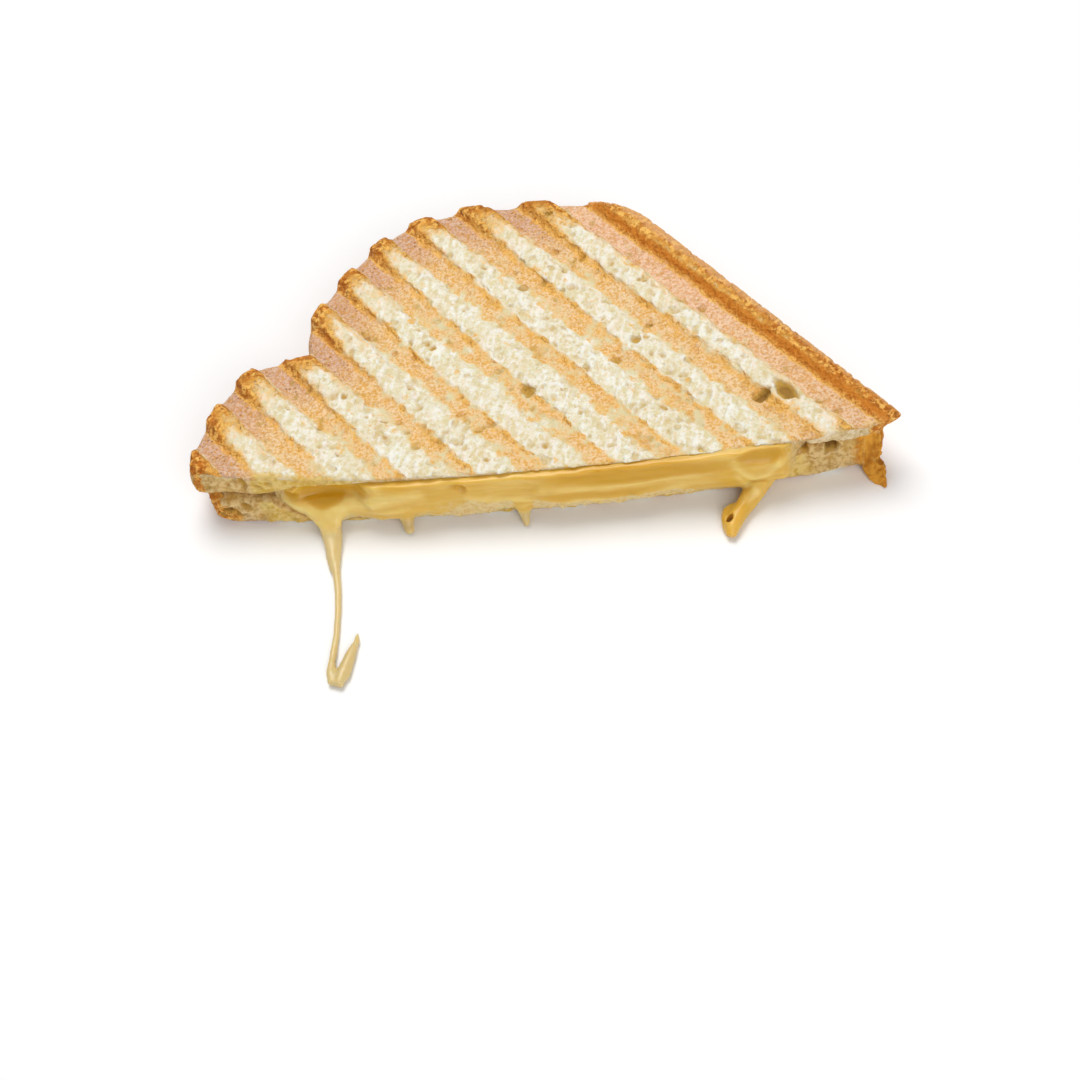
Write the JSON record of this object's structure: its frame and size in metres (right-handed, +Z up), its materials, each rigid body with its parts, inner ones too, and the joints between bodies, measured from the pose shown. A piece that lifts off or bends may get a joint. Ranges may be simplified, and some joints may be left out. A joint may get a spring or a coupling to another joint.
{
  "type": "grilled cheese sandwich half",
  "caption": "Flat half of a pressed grilled cheese sandwich, cut from corner to corner, with ribbed toast marks and melted cheese strung out of the cut.",
  "frame": {"origin": "middle of the footprint, on the surface that the sandwich lies on", "axes": "+X along the cut towards the thin right-hand end, +Y from the cut towards the loaf's rounded corner, +Z up"},
  "size_m": [0.1728, 0.1364, 0.0194],
  "materials": {
    "toasted_bread": "porous toasted white bread, cream bands and orange-brown grill marks",
    "melted_cheese": "melted yellow cheese, soft gloss"
  },
  "bodies": {
    "root": {"bread_top": "toasted_bread", "bread_bottom": "toasted_bread", "cheese": "melted_cheese"}
  },
  "joints": []
}
